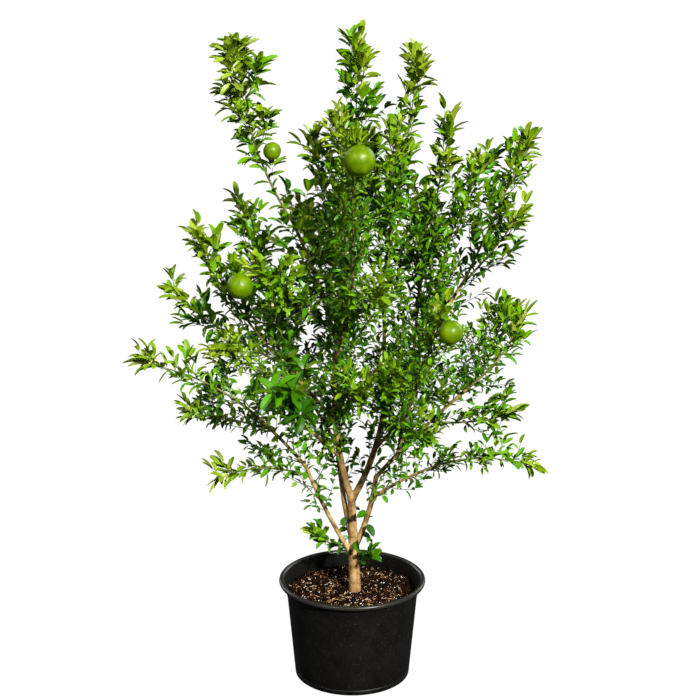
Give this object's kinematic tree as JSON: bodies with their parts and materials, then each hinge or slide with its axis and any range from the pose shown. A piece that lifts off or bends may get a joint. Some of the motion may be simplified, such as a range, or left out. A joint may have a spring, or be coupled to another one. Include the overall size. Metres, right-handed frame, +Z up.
{
  "type": "potted citrus tree",
  "caption": "Young citrus tree in a round nursery pot: forked trunk, upright open crown of small glossy leaves, and green fruit hanging in the foliage.",
  "frame": {"origin": "middle of the pot's flat underside, on the ground", "axes": "+Z up along the trunk, +Y towards the back of the view, +X to the right"},
  "size_m": [1.0095, 0.815, 1.566],
  "materials": {
    "pot": "black moulded plastic, satin, with a slightly glossier rolled rim",
    "potting_mix": "moist bark chips with pale fibres and white grains",
    "bark": "smooth tan bark with faint rings and small scars",
    "foliage": "glossy green leaves, paler below, with green glossy fruit"
  },
  "bodies": {
    "root": {"pot": "pot", "potting_mix": "potting_mix", "trunk": "bark", "left_leader": "bark", "right_leader": "bark", "left_stem": "bark", "right_stem": "bark", "back_stem": "bark", "left_high": "bark", "left_mid": "bark", "left_low_fork": "bark", "right_fork": "bark", "right_upright": "bark", "right_low_fork": "bark", "right_mid": "bark", "low_right": "bark", "front_left": "bark", "front_right": "bark", "front_high": "bark", "back_left": "bark", "back_right": "bark", "foliage_top_left": "foliage", "foliage_top_centre": "foliage", "foliage_top_right": "foliage", "foliage_upper_right": "foliage", "foliage_far_right_high": "foliage", "foliage_right_shoulder": "foliage", "foliage_right_spur": "foliage", "foliage_right_side": "foliage", "foliage_right_inner": "foliage", "foliage_right_lower": "foliage", "foliage_low_right": "foliage", "foliage_low_left": "foliage", "foliage_left_lower": "foliage", "foliage_left_arm": "foliage", "foliage_left_middle": "foliage", "foliage_left_upper": "foliage", "foliage_left_crest": "foliage", "foliage_left_top": "foliage", "foliage_left_inner": "foliage", "foliage_near_left": "foliage", "foliage_near_right": "foliage", "foliage_near_right_low": "foliage", "foliage_near_top": "foliage", "foliage_near_centre": "foliage", "foliage_near_middle": "foliage", "foliage_near_right_middle": "foliage", "foliage_near_upper_left": "foliage", "foliage_back_left_low": "foliage", "foliage_back_left": "foliage", "foliage_back_right_low": "foliage", "foliage_back_right": "foliage", "foliage_back_centre": "foliage", "foliage_back_upper_left": "foliage", "foliage_back_upper": "foliage", "foliage_back_upper_right": "foliage", "foliage_top_middle": "foliage", "foliage_top_inner": "foliage", "foliage_sprout_left": "foliage", "foliage_sprout_right": "foliage"}
  },
  "joints": []
}
